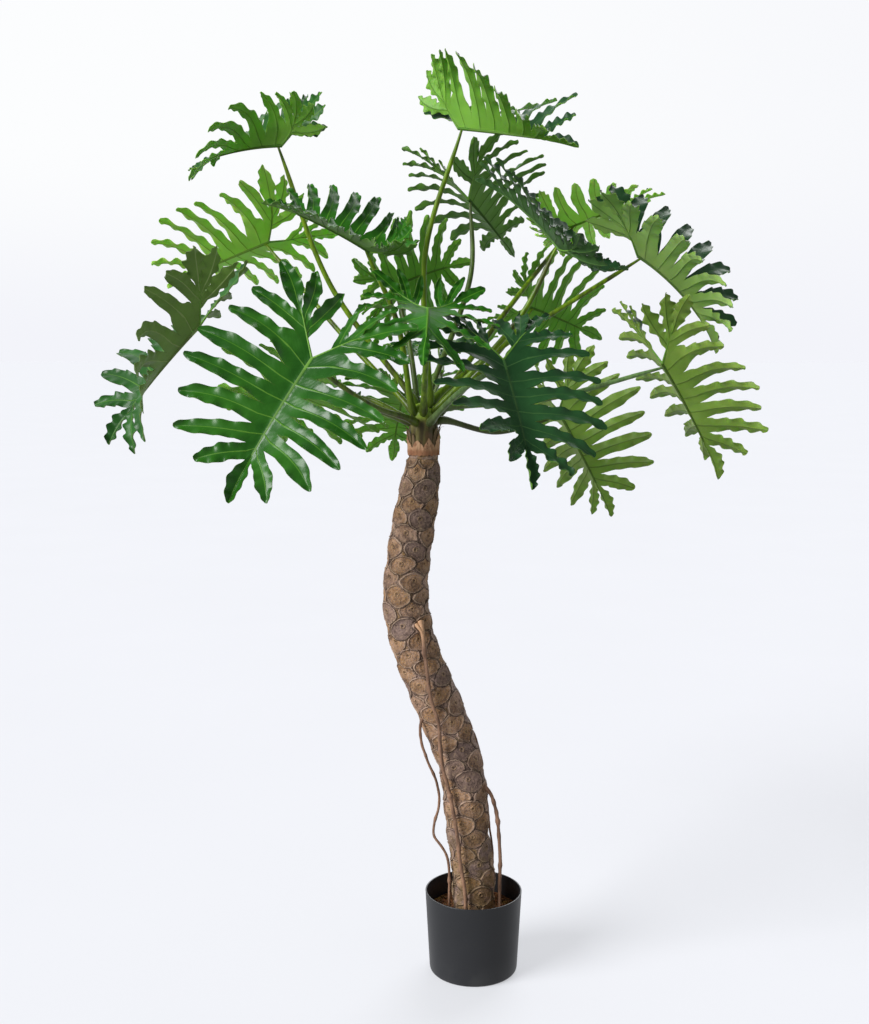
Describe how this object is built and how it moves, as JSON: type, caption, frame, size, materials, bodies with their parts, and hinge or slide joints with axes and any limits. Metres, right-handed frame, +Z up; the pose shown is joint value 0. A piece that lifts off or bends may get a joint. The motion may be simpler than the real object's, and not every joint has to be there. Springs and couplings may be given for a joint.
{
  "type": "potted lacy tree philodendron",
  "caption": "Artificial lacy tree philodendron in a round dark pot: S-bent trunk with leaf scars, aerial roots and long-stalked, deeply lobed leaves.",
  "frame": {"origin": "middle of the pot's flat underside", "axes": "+Z up along the pot's axis, the picture looks along +Y, +X to its right"},
  "size_m": [1.1152, 0.7889, 1.5153],
  "materials": {
    "pot": "matte",
    "soil": "rough",
    "trunk": "rough",
    "sheath": "rough",
    "root": "rough",
    "leaf": "satin",
    "leaf_dark": "satin"
  },
  "bodies": {
    "root": {"pot": "pot", "soil": "soil", "trunk": "trunk", "sheath_collar": "sheath", "aerial_root_1": "root", "aerial_root_2": "root", "aerial_root_3": "root", "aerial_root_4": "root", "leaf_01": "leaf", "leaf_02": "leaf", "leaf_03": "leaf", "leaf_04": "leaf", "leaf_05": "leaf", "leaf_06": "leaf", "leaf_07": "leaf", "leaf_08": "leaf", "leaf_09": "leaf", "leaf_10": "leaf", "leaf_11": "leaf_dark", "leaf_12": "leaf", "leaf_13": "leaf", "leaf_14": "leaf", "leaf_15": "leaf_dark", "leaf_16": "leaf", "leaf_17": "leaf", "leaf_18": "leaf", "leaf_19": "leaf"}
  },
  "joints": []
}
